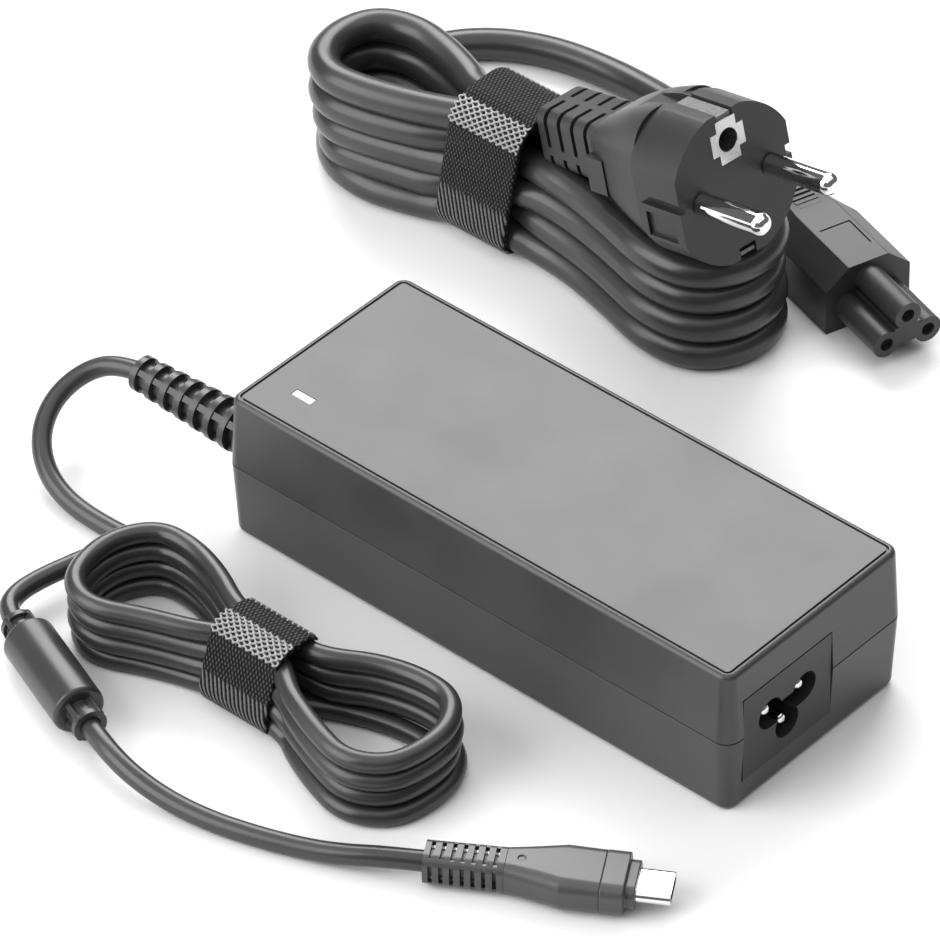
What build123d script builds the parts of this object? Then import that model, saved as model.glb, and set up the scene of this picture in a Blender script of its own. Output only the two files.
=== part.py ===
"""Laptop power adapter: brick, output cord with ferrite and USB-C plug, and detachable mains lead.

The frame is the brick's own: origin at the centre of its underside, +X along its length towards the
mains inlet, +Z up. Both cords lie on the surface that the brick stands on. Millimetres throughout.
"""
import os
from math import atan, cos, degrees, pi, radians, sin, tan

from build123d import *

os.makedirs("parts", exist_ok=True)

# ---------------------------------------------------------------- driving dimensions
brick_length = 130.0
brick_width = 52.8
brick_height = 33.9
parting_z = 17.5          # height of the seam between the two covers
draft_inset = 0.9         # how far each side leans in between the seam and the top or bottom
corner_radius = 3.5       # upright corners
bottom_round = 1.6
edge_round = 1.15         # top edge: a rounded bead outside a fine groove
groove_inset = 0.1
groove_width = 0.55
groove_depth = 0.45
wall = 2.2
seam_gap = 0.3
seam_depth = 0.4
lip_height = 1.4
lip_thickness = 0.8
lip_clearance = 0.1

inlet_y = -8.6            # centre of the mains inlet
inlet_line_z = 18.1       # height of its line and neutral pins
inlet_earth_drop = 5.5    # earth pin below them
inlet_pitch = 10.0        # between line and neutral
inlet_pin_diameter = 2.4
inlet_depth = 15.5
inlet_lobe_radius = 3.4
panel_width = 26.4
panel_bottom = 6.0
panel_top = 26.7
panel_gap = 0.2

dc_diameter = 4.2
dc_exit_y = -17.0
relief_length = 31.6
mains_diameter = 7.0
floor_dc = dc_diameter / 2
floor_mains = mains_diameter / 2
layers = 4                # layers of cord in each hank
tie_thickness = 1.8
gather = 1.0              # how far the gathered turns show on each side of a tie


# ---------------------------------------------------------------- helpers
def save(builder, name):
    """Label one finished sub-part and write it."""
    builder.part.label = name
    export_step(builder.part, f"parts/{name}.step")


def bend_radii(points, closed=False):
    """Radius of each corner's arc: 0.45 of the shorter run over the tangent of half the turn."""
    corners = [Vector(*point) for point in points]
    count = len(corners)
    radii = []
    for index in range(count) if closed else range(1, count - 1):
        run_in = corners[index] - corners[index - 1]
        run_out = corners[(index + 1) % count] - corners[index]
        half_turn = radians(run_in.get_angle(run_out)) / 2
        radii.append(0.45 * min(run_in.length, run_out.length) / tan(half_turn))
    return radii


def cord_tube(name, points, diameter):
    """A cord's uncoiled stretch: straight runs joined by tangent arcs."""
    radii = bend_radii(points)
    with BuildPart() as tube:
        with BuildLine() as route:
            FilletPolyline(*points, radius=radii)
        path = route.wires()[0]
        with BuildSketch(Plane(origin=path @ 0, z_dir=path % 0)):
            Circle(diameter / 2)
        sweep()
    share = tube.part.volume / (pi * diameter ** 2 / 4 * path.length)
    print(f"{name}: length {path.length:.1f}, volume over section x length {share:.4f}")
    print("   radii in diameters:", " ".join(f"{radius / diameter:.1f}" for radius in radii))
    save(tube, name)


def moved_outline(points, radii, side):
    """Corners and radii of a closed line, anticlockwise, once it is moved outwards by `side` all round."""
    corners = [Vector(*point) for point in points]
    moved_corners = []
    moved_radii = []
    for index, radius in enumerate(radii):
        run_in = (corners[index] - corners[index - 1]).normalized()
        run_out = (corners[(index + 1) % len(corners)] - corners[index]).normalized()
        normals = Vector(run_in.Y, -run_in.X) + Vector(run_out.Y, -run_out.X)
        moved_corners.append(corners[index] + normals * (side / (1 + run_in.dot(run_out))))
        left_turn = run_in.cross(run_out).Z > 0
        moved_radii.append(radius + side if left_turn else radius - side)
    return moved_corners, moved_radii


def loop_outline(points, side):
    """A hank's closed middle line, anticlockwise, moved outwards by `side` all round, as a face."""
    corners, radii = moved_outline(points, bend_radii(points, closed=True), side)
    with BuildSketch() as outline:
        with BuildLine():
            FilletPolyline(*corners, radius=radii, close=True)
        make_face()
    return outline.sketch


def section_solid(section, radius, side, from_x, to_x, lean):
    """A tie's inner section (y, z), anticlockwise, moved outwards by `side` and run along x, leaning with z."""
    corners, radii = moved_outline(section, [radius] * len(section), side)
    tilt = atan(lean)
    plane = Plane((from_x, 0, 0), x_dir=(0, 1, 0), z_dir=(cos(tilt), 0, -sin(tilt)))
    with BuildPart() as solid:
        with BuildSketch(plane):
            with BuildLine():
                FilletPolyline(*[(corner.X, corner.Y / cos(tilt)) for corner in corners], radius=radii, close=True)
            make_face()
        extrude(amount=to_x - from_x, dir=(1, 0, 0))
    return solid.part


# ---------------------------------------------------------------- brick covers
def cover_block(inset, height, direction):
    """Tapered block from the seam, up (1) or down (-1); its sides start `inset` inside the seam line."""
    with BuildPart() as block:
        with BuildSketch(Plane.XY.offset(parting_z)):
            RectangleRounded(brick_length - 2 * inset, brick_width - 2 * inset, corner_radius - 0.4 * inset)
        extrude(amount=direction * height, taper=draft_angle(height))
    return block.part


def draft_angle(height):
    """The covers' draft in degrees, for a side that leans in by draft_inset over `height`."""
    return degrees(atan(draft_inset / height))


relief_neck_radius = 4.3
relief_flange_radius = 5.8
inlet_face_x = brick_length / 2 - 0.4
panel_centre_z = (panel_bottom + panel_top) / 2
panel_height = panel_top - panel_bottom
panel_y = inlet_y

with BuildPart() as relief_slot:
    with BuildSketch(Plane.YZ.offset(-brick_length / 2 - 1)):
        with Locations((dc_exit_y, parting_z)):
            Circle(relief_neck_radius)
    extrude(amount=wall + 2)

with BuildPart() as panel_opening:
    with BuildSketch(Plane.YZ.offset(brick_length / 2 - wall - 1)):
        with Locations((panel_y, panel_centre_z)):
            Rectangle(panel_width, panel_height)
    extrude(amount=wall + 2)

led_x = -53.0
led_y = -15.8
led_length = 5.2
led_width = 2.0
top_z = brick_height

with BuildPart() as top_cover:
    add(cover_block(0, brick_height - parting_z, 1))
    rim = top_cover.faces().sort_by(Axis.Z)[-1].edges()
    fillet(rim, edge_round)
    top_face = top_cover.faces().sort_by(Axis.Z)[-1]
    with BuildSketch(Plane.XY.offset(top_z)):
        add(top_face.moved(Location((0, 0, 0))))
        offset(amount=-groove_inset)
    extrude(amount=-groove_depth, mode=Mode.SUBTRACT)
    with BuildSketch(Plane.XY.offset(top_z - groove_depth)):
        add(top_face.moved(Location((0, 0, -groove_depth))))
        offset(amount=-groove_inset - groove_width)
    extrude(amount=groove_depth)
    add(cover_block(wall, brick_height - parting_z - wall, 1), mode=Mode.SUBTRACT)
    with BuildSketch(Plane.XY.offset(parting_z)):
        RectangleRounded(brick_length + 2, brick_width + 2, corner_radius)
        RectangleRounded(brick_length - 2 * seam_depth, brick_width - 2 * seam_depth,
                         corner_radius, mode=Mode.SUBTRACT)
    extrude(amount=seam_gap, mode=Mode.SUBTRACT)
    with BuildSketch(Plane.XY.offset(parting_z - lip_height)):
        RectangleRounded(brick_length - 2 * wall + 2 * lip_thickness, brick_width - 2 * wall + 2 * lip_thickness,
                         corner_radius - 1)
        RectangleRounded(brick_length - 2 * wall - 0.4, brick_width - 2 * wall - 0.4,
                         corner_radius - 1.4, mode=Mode.SUBTRACT)
    extrude(amount=lip_height + 1.2)
    add(relief_slot.part, mode=Mode.SUBTRACT)
    add(panel_opening.part, mode=Mode.SUBTRACT)
    with Locations((led_x, led_y, top_z)):
        Box(led_length, led_width, 4 * wall, mode=Mode.SUBTRACT)
save(top_cover, "top_cover")

with BuildPart() as bottom_cover:
    add(cover_block(0, parting_z, -1))
    fillet(bottom_cover.faces().sort_by(Axis.Z)[0].edges(), bottom_round)
    add(cover_block(wall, parting_z - wall, -1), mode=Mode.SUBTRACT)
    rebate = lip_thickness + lip_clearance
    with BuildSketch(Plane.XY.offset(parting_z - lip_height - lip_clearance)):
        RectangleRounded(brick_length - 2 * wall + 2 * rebate, brick_width - 2 * wall + 2 * rebate,
                         corner_radius - 0.9)
    extrude(amount=lip_height + 2, mode=Mode.SUBTRACT)
    add(relief_slot.part, mode=Mode.SUBTRACT)
    add(panel_opening.part, mode=Mode.SUBTRACT)
save(bottom_cover, "bottom_cover")

with BuildPart() as led_window:
    with BuildSketch(Plane.XY.offset(top_z - wall - 0.6)):
        with Locations((led_x, led_y)):
            RectangleRounded(led_length - 0.16, led_width - 0.16, 0.25)
    extrude(amount=wall + 0.55)
save(led_window, "led_window")

# ---------------------------------------------------------------- mains inlet
inlet_pin_points = [
    (inlet_y - inlet_pitch / 2, inlet_line_z),
    (inlet_y + inlet_pitch / 2, inlet_line_z),
    (inlet_y, inlet_line_z - inlet_earth_drop),
]
inlet_floor_x = inlet_face_x - inlet_depth

with BuildPart() as inlet_housing:
    with BuildSketch(Plane.YZ.offset(inlet_floor_x - 2.5)):
        with Locations((inlet_y, inlet_line_z - 1.8)):
            RectangleRounded(21.6, 16.6, 1.5)
    extrude(amount=inlet_depth + 2.5)
    with BuildSketch(Plane.YZ.offset(inlet_face_x - wall)):
        with Locations((panel_y, panel_centre_z)):
            RectangleRounded(panel_width - 2 * panel_gap, panel_height - 2 * panel_gap, 0.3)
    extrude(amount=wall)
    with BuildSketch(Plane.YZ.offset(inlet_floor_x)):
        with Locations(*inlet_pin_points):
            Circle(inlet_lobe_radius)
        with Locations((inlet_y, inlet_line_z - 1.25)):
            Rectangle(inlet_pitch, 4.5)
    extrude(amount=inlet_depth + 1, mode=Mode.SUBTRACT)
    with BuildSketch(Plane.YZ.offset(inlet_floor_x - 3)):
        with Locations(*inlet_pin_points):
            Circle(inlet_pin_diameter / 2)
    extrude(amount=4, mode=Mode.SUBTRACT)
save(inlet_housing, "inlet_housing")

with BuildPart() as inlet_pins:
    with BuildSketch(Plane.YZ.offset(inlet_floor_x - 5.5)):
        with Locations(*inlet_pin_points):
            Circle(inlet_pin_diameter / 2)
    extrude(amount=inlet_depth + 5.5 - 1.0)
    tips = inlet_pins.faces().sort_by(Axis.X)[-3:]
    chamfer([tip.edges()[0] for tip in tips], 0.5)
save(inlet_pins, "inlet_pins")

# ---------------------------------------------------------------- circuit board and what stands on it
board_bottom = 5.2
board_thickness = 1.6
board_top = board_bottom + board_thickness
board_x = (-60.5, 42.5)
board_width = 46.0
board_length = board_x[1] - board_x[0]
board_middle = sum(board_x) / 2

with BuildPart() as circuit_board:
    with BuildSketch(Plane.XY.offset(board_bottom)):
        with Locations((board_middle, 0)):
            RectangleRounded(board_length, board_width, 1.5)
            with GridLocations(board_length - 8, board_width, 2, 2):
                Circle(2.2, mode=Mode.SUBTRACT)
        with Locations((-18, -6)):
            SlotOverall(20, 2, rotation=90, mode=Mode.SUBTRACT)
    extrude(amount=board_thickness)
save(circuit_board, "circuit_board")

with BuildPart() as board_posts:
    with BuildSketch(Plane.XY.offset(wall)):
        with Locations((board_middle, 0)):
            with GridLocations(board_length - 22, board_width - 8, 2, 2):
                Circle(2.4)
    extrude(amount=board_bottom - wall)
save(board_posts, "board_posts")

with BuildPart() as insulating_sheet:
    with BuildSketch(Plane.XY.offset(wall + 0.1)):
        with Locations((board_middle, 0)):
            RectangleRounded(board_length - 2, board_width - 1, 2)
            with GridLocations(board_length - 22, board_width - 8, 2, 2):
                Circle(2.8, mode=Mode.SUBTRACT)
    extrude(amount=0.4)
save(insulating_sheet, "insulating_sheet")

transformer_x = -17.0
transformer_y = 6.0
core_length = 25.0
core_width = 21.0
core_height = 22.0

with BuildPart() as transformer_core:
    with BuildSketch(Plane.XZ.offset(-transformer_y - core_width / 2 + 3)):
        with Locations((transformer_x, board_top + 1.2 + core_height / 2)):
            Rectangle(core_length, core_height)
            with Locations((-7.4, 0), (7.4, 0)):
                Rectangle(5.0, core_height - 7, mode=Mode.SUBTRACT)
    extrude(amount=core_width - 6)
save(transformer_core, "transformer_core")

with BuildPart() as transformer_winding:
    with BuildSketch(Plane.XY.offset(board_top + 5)):
        with Locations((transformer_x, transformer_y)):
            RectangleRounded(19.4, core_width + 1.4, 3)
            Rectangle(10.0, core_width - 5.6, mode=Mode.SUBTRACT)
    extrude(amount=core_height - 7.6)
save(transformer_winding, "transformer_winding")

with BuildPart() as bulk_capacitor:
    with BuildSketch(Plane.YZ.offset(3)):
        with Locations((11.5, board_top + 9.3)):
            Circle(9.0)
    extrude(amount=26)
    fillet(bulk_capacitor.edges().filter_by(GeomType.CIRCLE), 0.8)
save(bulk_capacitor, "bulk_capacitor")

with BuildPart() as output_capacitors:
    with BuildSketch(Plane.XY.offset(board_top)):
        with Locations((-50, 12), (-50, 0.5)):
            Circle(5.0)
    extrude(amount=20)
    fillet(output_capacitors.edges().filter_by(GeomType.CIRCLE).group_by(Axis.Z)[-1], 0.6)
save(output_capacitors, "output_capacitors")

choke_centre = (38.0, 14.0, board_top + 9.2)
with BuildPart() as choke_core:
    with BuildSketch(Plane.YZ.offset(choke_centre[0] - 3)):
        with Locations((choke_centre[1], choke_centre[2])):
            Circle(7.1)
            Circle(3.9, mode=Mode.SUBTRACT)
    extrude(amount=6)
save(choke_core, "choke_core")

with BuildPart() as choke_windings:
    for start in (-55, 125):
        for step in range(6):
            with BuildSketch(Plane.YZ.offset(choke_centre[0] - 4)):
                with Locations((choke_centre[1], choke_centre[2])):
                    with PolarLocations(5.5, 1, start_angle=start + 22 * step):
                        Rectangle(5.2, 1.5)
                        Rectangle(3.5, 1.6, mode=Mode.SUBTRACT)
            extrude(amount=8)
            for side in (-4.0, 3.05):
                with BuildSketch(Plane.YZ.offset(choke_centre[0] + side)):
                    with Locations((choke_centre[1], choke_centre[2])):
                        with PolarLocations(5.5, 1, start_angle=start + 22 * step):
                            Rectangle(5.2, 1.5)
                extrude(amount=0.95)
save(choke_windings, "choke_windings")

with BuildPart() as x_capacitor:
    with BuildSketch(Plane.XY.offset(board_top)):
        with Locations((25.5, -11)):
            Rectangle(13, 7)
    extrude(amount=11)
    chamfer(x_capacitor.faces().sort_by(Axis.Z)[-1].edges(), 0.4)
save(x_capacitor, "x_capacitor")

with BuildPart() as y_capacitors:
    for place_x in (-4.5, -31.5):
        with BuildSketch(Plane.XZ.offset(14.5)):
            with Locations((place_x, board_top + 5)):
                Circle(4)
        extrude(amount=2.6)
    fillet(y_capacitors.edges().filter_by(GeomType.CIRCLE), 0.6)
save(y_capacitors, "y_capacitors")

with BuildPart() as fuse:
    with BuildSketch(Plane.XY.offset(board_top)):
        with Locations((38, -19)):
            Circle(2.9)
    extrude(amount=8)
save(fuse, "fuse")

with BuildPart() as bridge_rectifier:
    with BuildSketch(Plane.XZ.offset(5.6)):
        with Locations((9, board_top + 3)):
            Rectangle(14, 10, align=(Align.CENTER, Align.MIN))
    extrude(amount=3.4)
    with BuildSketch(Plane.XY.offset(board_top)):
        with Locations((9, -7.3)):
            with GridLocations(3.8, 0, 4, 1):
                Rectangle(0.9, 0.7)
    extrude(amount=3)
save(bridge_rectifier, "bridge_rectifier")


def power_package(name, centre_x, face_y, side):
    """A three-legged power package standing on the board with its tab towards the heat sink."""
    with BuildPart() as package:
        with BuildSketch(Plane.XZ.offset(-face_y)):
            with Locations((centre_x, board_top + 4)):
                Rectangle(10, 9, align=(Align.CENTER, Align.MIN))
        extrude(amount=side * 4.4)
        with BuildSketch(Plane.XZ.offset(-face_y)):
            with Locations((centre_x, board_top + 12.9)):
                Rectangle(10, 6, align=(Align.CENTER, Align.MIN))
            with Locations((centre_x, board_top + 16.4)):
                Circle(1.8, mode=Mode.SUBTRACT)
        extrude(amount=side * 1.3)
        with BuildSketch(Plane.XY.offset(board_top)):
            with Locations((centre_x, face_y - side * 2.4)):
                with GridLocations(2.54, 0, 3, 1):
                    Rectangle(0.8, 0.5)
        extrude(amount=4.1)
    save(package, name)


def heat_sink(name, from_x, to_x, outer_y, fold):
    """An upright plate beside the covers' long wall, with its top edge folded inwards."""
    plate_height = 20.5
    with BuildPart() as sink:
        with BuildSketch(Plane.YZ.offset(from_x)):
            with BuildLine():
                Polyline(
                    (outer_y, board_top), (outer_y, board_top + plate_height),
                    (outer_y + fold, board_top + plate_height),
                    (outer_y + fold, board_top + plate_height - 1.5),
                    (outer_y + 1.5 * fold / abs(fold), board_top + plate_height - 1.5),
                    (outer_y + 1.5 * fold / abs(fold), board_top), close=True)
            make_face()
        extrude(amount=to_x - from_x)
    save(sink, name)


heat_sink("primary_heat_sink", -2, 30, -21.4, 6)
heat_sink("secondary_heat_sink", -46, -28, 21.4, -6)
power_package("switching_transistor", 16, -19.85, -1)
power_package("output_rectifier", -38, 19.85, 1)

with BuildPart() as control_chip:
    with BuildSketch(Plane.XY.offset(board_top + 0.2)):
        with Locations((-36, -8)):
            Rectangle(9.8, 6.2)
    extrude(amount=3.2)
    with BuildSketch(Plane.XY.offset(board_top)):
        with Locations((-36, -8)):
            with GridLocations(2.54, 7.0, 4, 2):
                Rectangle(1.0, 0.9)
    extrude(amount=1.6)
save(control_chip, "control_chip")

with BuildPart() as status_led:
    with BuildSketch(Plane.XY.offset(board_top)):
        with Locations((led_x - 0.6, led_y), (led_x + 0.6, led_y)):
            Rectangle(0.45, 0.45)
    extrude(amount=18)
    with BuildSketch(Plane.XY.offset(board_top + 17.9)):
        with Locations((led_x, led_y)):
            RectangleRounded(3, 2, 0.4)
    extrude(amount=3)
save(status_led, "status_led")

# ---------------------------------------------------------------- inner leads
ac_lead_ends = [(41.0, -8.0), (38.2, -4.2), (38.2, -13.6)]
with BuildPart() as ac_inner_leads:
    for (pin_y, pin_z), (pad_x, pad_y) in zip(inlet_pin_points, ac_lead_ends[::-1]):
        tab_x = inlet_floor_x - 5.5
        with BuildSketch(Plane.YZ.offset(tab_x - 2)):
            with Locations((pin_y, pin_z)):
                Circle(1.1)
        extrude(amount=2)
        with BuildSketch(Plane((tab_x - 2, pin_y, pin_z), x_dir=(0, 1, 0), z_dir=(-1, 0, 0))):
            Circle(0.9)
        with BuildSketch(Plane((pad_x, pad_y, board_top), x_dir=(0, 1, 0), z_dir=(0, 0, 1))):
            Circle(0.9)
        loft()
save(ac_inner_leads, "ac_inner_leads")

relief_base_x = -brick_length / 2
with BuildPart() as dc_inner_leads:
    for pad_y in (-19.2, -14.8):
        with BuildSketch(Plane((relief_base_x + wall + 3, pad_y * 0.4 - 10.2, parting_z), z_dir=(1, 0, 0))):
            Circle(0.75)
        with BuildSketch(Plane((-57.0, pad_y, board_top), z_dir=(0, 0, -1))):
            Circle(0.75)
        loft()
save(dc_inner_leads, "dc_inner_leads")

# ---------------------------------------------------------------- strain relief on the brick
relief_rings = 8
relief_base = (relief_base_x, dc_exit_y, parting_z)
relief_plane = Plane(relief_base, x_dir=(0, 1, 0), z_dir=(-1, 0, 0))
relief_rib_planes = [
    Plane(relief_base, x_dir=(0, cos(radians(angle)), sin(radians(angle))), z_dir=(-1, 0, 0))
    for angle in (45, 135, 225, 315)
]


def relief_radius(distance):
    """The tapered outside of the strain relief at a distance from the brick."""
    return 5.3 - 1.5 * distance / relief_length


with BuildPart() as dc_strain_relief:
    with BuildSketch(relief_plane.offset(-wall - 3)):
        Circle(relief_flange_radius)
    extrude(amount=2)
    with BuildSketch(relief_plane.offset(-wall - 1.5)):
        Circle(relief_neck_radius)
    extrude(amount=wall + 1.5)
    with BuildSketch(relief_plane):
        Circle(3.5)
    with BuildSketch(relief_plane.offset(relief_length)):
        Circle(2.7)
    loft()
    for ring in range(relief_rings):
        start = 0.6 + ring * (relief_length - 2.1) / (relief_rings - 1)
        with BuildSketch(relief_plane.offset(start)):
            Circle(relief_radius(start))
        extrude(amount=1.5)
    for rib_plane in relief_rib_planes:
        with BuildSketch(rib_plane):
            with Locations((3.9, 0)):
                Rectangle(2.2, 1.5)
        with BuildSketch(rib_plane.offset(relief_length - 0.6)):
            with Locations((2.9, 0)):
                Rectangle(1.2, 1.2)
        loft()
save(dc_strain_relief, "dc_strain_relief")

# ---------------------------------------------------------------- output cord
relief_tip_x = relief_base_x - relief_length
dc_lead_route = [
    (relief_tip_x, dc_exit_y, parting_z),
    (-103.0, -17.6, 17.0),
    (-108.2, -21.8, 14.6),
    (-110.0, -28.8, 11.2),
    (-107.4, -35.8, 7.8),
    (-101.4, -40.8, 4.8),
    (-93.4, -43.2, 2.7),
    (-83.5, -43.6, floor_dc),
    (-72.0, -42.6, floor_dc),
    (-60.5, -43.0, floor_dc),
    (-50.0, -46.2, floor_dc),
    (-42.0, -51.2, floor_dc),
    (-36.0, -56.0, floor_dc),
]
dc_second_layer = floor_dc + dc_diameter + 0.1
ferrite_centre_z = 5.4
ferrite_start = (-72.2, -78.6, ferrite_centre_z)
ferrite_direction = Vector(0.933, -0.359, 0).normalized()
dc_tail_route = [
    (-36.0, -56.0, dc_second_layer),
    (-42.0, -51.2, dc_second_layer),
    (-50.0, -46.0, dc_second_layer),
    (-60.0, -42.8, dc_second_layer),
    (-68.0, -45.4, dc_second_layer),
    (-73.0, -51.6, 6.3),
    (-75.6, -59.0, 6.1),
    (-77.8, -66.2, 5.7),
    (-78.6, -72.2, 5.4),
    tuple(Vector(*ferrite_start) - ferrite_direction * 5.0),
    ferrite_start,
]
dc_loop = [
    (-35.0, -57.0), (-45.0, -51.0), (-54.0, -47.8), (-62.0, -48.6), (-67.0, -54.0), (-67.6, -62.0),
    (-64.6, -69.4), (-57.6, -73.0), (-48.0, -70.0), (-35.0, -65.0), (-13.0, -64.6), (-4.0, -69.4),
    (5.0, -72.9), (13.4, -71.6), (18.6, -65.2), (19.2, -56.6), (15.6, -49.6), (7.6, -47.0),
    (-2.0, -48.8), (-13.0, -55.6),
]
dc_hank_height = layers * dc_diameter + 0.2
dc_tie_x = (-33.0, -15.6)

cord_tube("dc_cord_lead", dc_lead_route, dc_diameter)
cord_tube("dc_cord_tail", dc_tail_route, dc_diameter)


def hook_and_loop_tie(name, span_x, section, corner, lean):
    """A strap wrapped round the gathered turns, its underside on the surface that the hank lies on."""
    with BuildPart() as tie:
        add(section_solid(section, corner, tie_thickness, *span_x, lean))
        add(section_solid(section, corner, 0, span_x[0] - 1, span_x[1] + 1, lean), mode=Mode.SUBTRACT)
    save(tie, name)


def hank(name, loop, width, height, span_x, section, corner, lean):
    """The outer shape of a tied hank: a band one cord wide round both loops, gathered under the tie."""
    sides_y = [point[0] for point in section]
    low_y = min(sides_y) - 2 * width
    high_y = max(sides_y) + 2 * width
    around = [(low_y, -width), (high_y, -width), (high_y, 2 * height), (low_y, 2 * height)]
    with BuildPart() as coil:
        add(loop_outline(loop, width / 2))
        extrude(amount=height)
        add(loop_outline(loop, -width / 2))
        extrude(amount=height, mode=Mode.SUBTRACT)
        add(section_solid(around, corner, 0, *span_x, lean), mode=Mode.SUBTRACT)
        add(section_solid(section, corner, 0, span_x[0] - gather, span_x[1] + gather, lean))
    save(coil, name)


dc_tie_section = [(-68.4, tie_thickness), (-53.2, tie_thickness), (-53.4, 17.4), (-63.0, 17.4)]
dc_tie_corner = 3.4
dc_tie_lean = 0.0

hook_and_loop_tie("dc_cord_tie", dc_tie_x, dc_tie_section, dc_tie_corner, dc_tie_lean)
hank("dc_cord_hank", dc_loop, dc_diameter, dc_hank_height, dc_tie_x, dc_tie_section, dc_tie_corner, dc_tie_lean)

# ---------------------------------------------------------------- ferrite on the output cord
ferrite_plane = Plane(ferrite_start, x_dir=(0, 0, 1), z_dir=ferrite_direction)
ferrite_neck = 5.0
ferrite_length = 24.0
ferrite_radius = 5.4
ferrite_total = ferrite_length + 2 * ferrite_neck
ferrite_end = tuple(Vector(*ferrite_start) + ferrite_direction * ferrite_total)

with BuildPart() as ferrite_core:
    with BuildSketch(ferrite_plane.offset(ferrite_neck + 2)):
        Circle(4.0)
        Circle(dc_diameter / 2, mode=Mode.SUBTRACT)
    extrude(amount=ferrite_length - 4)
save(ferrite_core, "ferrite_core")

with BuildPart() as ferrite_sleeve:
    with BuildSketch(ferrite_plane.offset(ferrite_neck)):
        Circle(ferrite_radius)
    extrude(amount=ferrite_length)
    fillet(ferrite_sleeve.edges().filter_by(GeomType.CIRCLE), 0.9)
    with BuildSketch(ferrite_plane):
        Circle(2.6)
    extrude(amount=ferrite_total)
    for start in (0, ferrite_total - 1.3):
        with BuildSketch(ferrite_plane.offset(start)):
            Circle(3.5)
        extrude(amount=1.3)
    for start in (0, ferrite_total - ferrite_neck - 0.3):
        with BuildSketch(ferrite_plane.offset(start)):
            with PolarLocations(3.0, 4, start_angle=45):
                Rectangle(1.4, 1.0)
        extrude(amount=ferrite_neck + 0.3)
    add(ferrite_core.part, mode=Mode.SUBTRACT)
    with BuildSketch(ferrite_plane):
        Circle(dc_diameter / 2)
    extrude(amount=ferrite_total, mode=Mode.SUBTRACT)
save(ferrite_sleeve, "ferrite_sleeve")

with BuildPart() as dc_cord_through:
    with BuildSketch(ferrite_plane):
        Circle(dc_diameter / 2)
    extrude(amount=ferrite_total)
save(dc_cord_through, "dc_cord_through")

# ---------------------------------------------------------------- end of the output cord and its plug
dc_plug_z = 4.25
dc_plug_start = (32.4, -76.0, dc_plug_z)
dc_plug_direction = Vector(0.851, 0.525, 0).normalized()
dc_end_route = [
    ferrite_end,
    tuple(Vector(*ferrite_end) + ferrite_direction * 6.5),
    (-26.6, -94.6, 4.2),
    (-17.6, -94.4, 2.8),
    (-8.0, -92.9, floor_dc),
    (2.0, -90.2, floor_dc),
    (11.6, -86.8, 2.3),
    (18.8, -83.9, 3.2),
    tuple(Vector(*dc_plug_start) - dc_plug_direction * 7.6),
    dc_plug_start,
]
cord_tube("dc_cord_end", dc_end_route, dc_diameter)

dc_plug_plane = Plane(dc_plug_start, x_dir=(-dc_plug_direction.Y, dc_plug_direction.X, 0),
                      z_dir=dc_plug_direction)
dc_boot_length = 15.5
dc_body_length = 18.5
dc_ring_length = 4.6
dc_collar_length = 2.0
usb_width = 8.34
usb_height = 2.56
usb_length = 6.65
usb_inside = 6.3

dc_boot_slots = 7
dc_boot_slot_width = 0.8
dc_boot_slot_pitch = 2.05
dc_boot_webs = [(side * 2.9, height * 2.6) for side in (-1, 1) for height in (-1, 1)]

with BuildPart() as dc_plug_boot:
    with BuildSketch(dc_plug_plane):
        RectangleRounded(7.4, 6.8, 2.2)
    with BuildSketch(dc_plug_plane.offset(dc_boot_length)):
        RectangleRounded(8.0, 7.2, 2.4)
    loft()
    for slot in range(dc_boot_slots):
        with BuildSketch(dc_plug_plane.offset(1.1 + dc_boot_slot_pitch * slot)):
            Rectangle(12, 12)
            RectangleRounded(5.0, 4.6, 1.8, mode=Mode.SUBTRACT)
            with Locations(*dc_boot_webs):
                Rectangle(1.1, 1.1, mode=Mode.SUBTRACT)
        extrude(amount=dc_boot_slot_width, mode=Mode.SUBTRACT)
save(dc_plug_boot, "dc_plug_boot")

dc_body_start = dc_boot_length
dc_ring_start = dc_body_start + dc_body_length
dc_collar_start = dc_ring_start + dc_ring_length
usb_start = dc_collar_start + dc_collar_length

with BuildPart() as dc_plug_body:
    with BuildSketch(dc_plug_plane.offset(dc_body_start)):
        RectangleRounded(8.0, 7.2, 2.4)
    with BuildSketch(dc_plug_plane.offset(dc_body_start + 5.5)):
        RectangleRounded(10.6, 7.4, 2.8)
    with BuildSketch(dc_plug_plane.offset(dc_body_start + 11)):
        RectangleRounded(13.4, 7.4, 2.9)
    loft(ruled=False)
    with BuildSketch(dc_plug_plane.offset(dc_body_start + 11)):
        RectangleRounded(13.4, 7.4, 2.9)
    with BuildSketch(dc_plug_plane.offset(dc_ring_start)):
        RectangleRounded(13.2, 7.0, 2.7)
    loft()
    dimple_plane = Plane(dc_plug_plane.from_local_coords((0, 4.2, dc_body_start + 3.0)))
    with Locations(dimple_plane):
        Cylinder(0.75, 1.6, mode=Mode.SUBTRACT)
save(dc_plug_body, "dc_plug_body")

with BuildPart() as dc_plug_ring:
    with BuildSketch(dc_plug_plane.offset(dc_ring_start)):
        RectangleRounded(13.3, 7.1, 2.7)
    extrude(amount=dc_ring_length)
    fillet(dc_plug_ring.edges().filter_by(GeomType.LINE, reverse=True).group_by(Axis.X)[-1], 0.3)
    with BuildSketch(dc_plug_plane.offset(dc_collar_start)):
        RectangleRounded(11.0, 5.2, 2.4)
    extrude(amount=dc_collar_length)
    with BuildSketch(dc_plug_plane.offset(dc_collar_start - 2)):
        SlotOverall(usb_width, usb_height)
    extrude(amount=dc_collar_length + 3, mode=Mode.SUBTRACT)
save(dc_plug_ring, "dc_plug_ring")

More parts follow.
